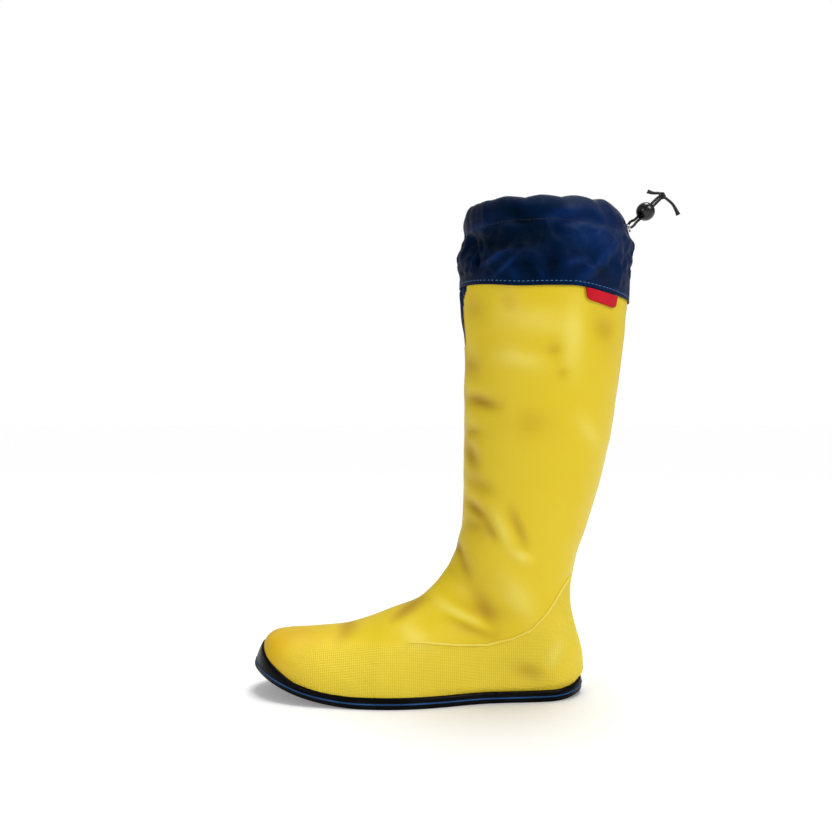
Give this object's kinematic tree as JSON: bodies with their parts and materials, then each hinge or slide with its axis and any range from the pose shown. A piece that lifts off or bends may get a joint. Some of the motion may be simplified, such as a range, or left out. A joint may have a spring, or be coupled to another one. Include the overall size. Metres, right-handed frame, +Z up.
{
  "type": "packable rubber rain boot",
  "caption": "Tall thin-walled rubber boot for the left foot, with a ribbed foot, a dark sole band and a gathered fabric cuff closed by a drawcord and a ball lock.",
  "frame": {"origin": "on the ground, under the sole's flat middle", "axes": "+Z up the shaft, -X towards the toe, +Y towards the inner side of the foot"},
  "size_m": [0.3275, 0.107, 0.3854],
  "materials": {
    "yellow_rubber": "satin",
    "black_rubber": "gloss",
    "blue_rubber": "satin",
    "board": "matte",
    "insole_foam": "matte",
    "lining_knit": "matte",
    "navy_nylon": "satin",
    "thread": "satin",
    "label_red": "satin",
    "eyelet_metal": "satin",
    "cord": "satin",
    "lock_plastic": "gloss",
    "spring_steel": "satin"
  },
  "bodies": {
    "foot": {"outsole": "black_rubber", "sole_band": "black_rubber", "band_stripe": "blue_rubber", "insole_board": "board", "insole": "insole_foam", "galosh": "yellow_rubber", "vamp": "yellow_rubber", "seam_bead": "yellow_rubber", "toe_reinforcement": "yellow_rubber", "heel_reinforcement": "yellow_rubber", "foot_lining": "lining_knit"},
    "shaft": {"ankle_sleeve": "yellow_rubber", "ankle_lining": "lining_knit", "shaft_tube": "yellow_rubber", "shaft_lining": "lining_knit", "front_gusset": "navy_nylon", "cuff_panel": "navy_nylon", "cuff_channel": "navy_nylon", "hem_thread": "thread", "channel_thread": "thread", "hem_label": "label_red", "eyelet_near": "eyelet_metal", "eyelet_far": "eyelet_metal", "eyelet_washer_near": "eyelet_metal", "eyelet_washer_far": "eyelet_metal", "drawcord_loop": "cord", "drawcord_end_near": "cord", "drawcord_end_far": "cord", "cord_knot": "cord", "cord_tail_near": "cord", "cord_tail_far": "cord"},
    "cord_lock": {"lock_body": "lock_plastic", "lock_spring": "spring_steel"},
    "lock_button": {"lock_plunger": "lock_plastic"}
  },
  "joints": [
    {"name": "ankle_flex", "type": "hinge", "parent": "foot", "child": "shaft", "pos_m": [0.08, 0, 0.11], "axis": [0, -1, 0], "range_deg": [-22, 20], "stiffness_Nm_per_rad": 1.4, "deforming": ["ankle_sleeve", "ankle_lining"]},
    {"name": "lock_slide", "type": "slide", "parent": "shaft", "child": "cord_lock", "axis": [0.7193, 0, 0.6947], "range_m": [-0.0025, 0.0055]},
    {"name": "button_press", "type": "slide", "parent": "cord_lock", "child": "lock_button", "axis": [0, -1, 0], "range_m": [0, 0.0015], "stiffness_N_per_m": 900, "springref_m": -0.0012, "deforming": ["lock_spring"]}
  ]
}
